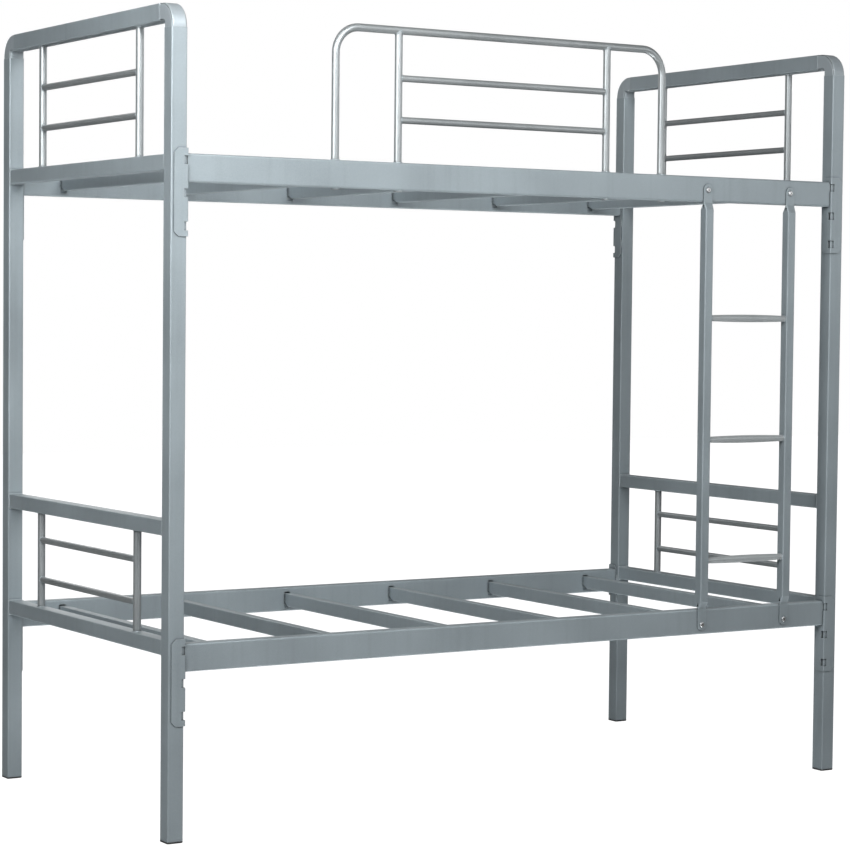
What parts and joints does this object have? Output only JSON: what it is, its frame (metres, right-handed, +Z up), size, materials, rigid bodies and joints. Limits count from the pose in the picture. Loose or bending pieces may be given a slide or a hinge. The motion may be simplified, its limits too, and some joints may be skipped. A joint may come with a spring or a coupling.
{
  "type": "bunk bed with ladder",
  "caption": "Knock-down steel tube bunk bed: two end frames with rod panels, hook-on side rails, tube slats, a guard rail on the upper bunk and a screwed-on ladder.",
  "frame": {"origin": "on the floor under the middle of the bed", "axes": "+X along the length towards the ladder end, +Y from the ladder side to the back, +Z up"},
  "size_m": [1.991, 0.987, 1.92],
  "materials": {
    "grey_paint": "semi-gloss powder coat",
    "zinc_plate": "bright zinc",
    "cap_plastic": "matte"
  },
  "bodies": {
    "root": {"foot_caps": "cap_plastic", "guard_hoop": "grey_paint", "guard_rods": "grey_paint", "guard_uprights": "grey_paint", "ladder_left_stile": "grey_paint", "ladder_right_stile": "grey_paint", "ladder_rung_1": "grey_paint", "ladder_rung_2": "grey_paint", "ladder_rung_3": "grey_paint", "ladder_screws": "zinc_plate", "left_back_elbow": "grey_paint", "left_back_post": "grey_paint", "left_back_rail_plates": "grey_paint", "left_front_elbow": "grey_paint", "left_front_post": "grey_paint", "left_front_rail_plates": "grey_paint", "left_lower_cross_rail": "grey_paint", "left_lower_rods": "grey_paint", "left_lower_uprights": "grey_paint", "left_panel_rail": "grey_paint", "left_top_tube": "grey_paint", "left_upper_cross_rail": "grey_paint", "left_upper_rods": "grey_paint", "left_upper_uprights": "grey_paint", "lower_back_rail_hooks": "grey_paint", "lower_back_side_rail": "grey_paint", "lower_front_rail_hooks": "grey_paint", "lower_front_side_rail": "grey_paint", "lower_slat_1": "grey_paint", "lower_slat_2": "grey_paint", "lower_slat_3": "grey_paint", "lower_slat_4": "grey_paint", "lower_slat_5": "grey_paint", "lower_slat_6": "grey_paint", "right_back_elbow": "grey_paint", "right_back_post": "grey_paint", "right_back_rail_plates": "grey_paint", "right_front_elbow": "grey_paint", "right_front_post": "grey_paint", "right_front_rail_plates": "grey_paint", "right_lower_cross_rail": "grey_paint", "right_lower_rods": "grey_paint", "right_lower_uprights": "grey_paint", "right_panel_rail": "grey_paint", "right_top_tube": "grey_paint", "right_upper_cross_rail": "grey_paint", "right_upper_rods": "grey_paint", "right_upper_uprights": "grey_paint", "upper_back_rail_hooks": "grey_paint", "upper_back_side_rail": "grey_paint", "upper_front_rail_hooks": "grey_paint", "upper_front_side_rail": "grey_paint", "upper_slat_1": "grey_paint", "upper_slat_2": "grey_paint", "upper_slat_3": "grey_paint", "upper_slat_4": "grey_paint", "upper_slat_5": "grey_paint", "upper_slat_6": "grey_paint"}
  },
  "joints": []
}
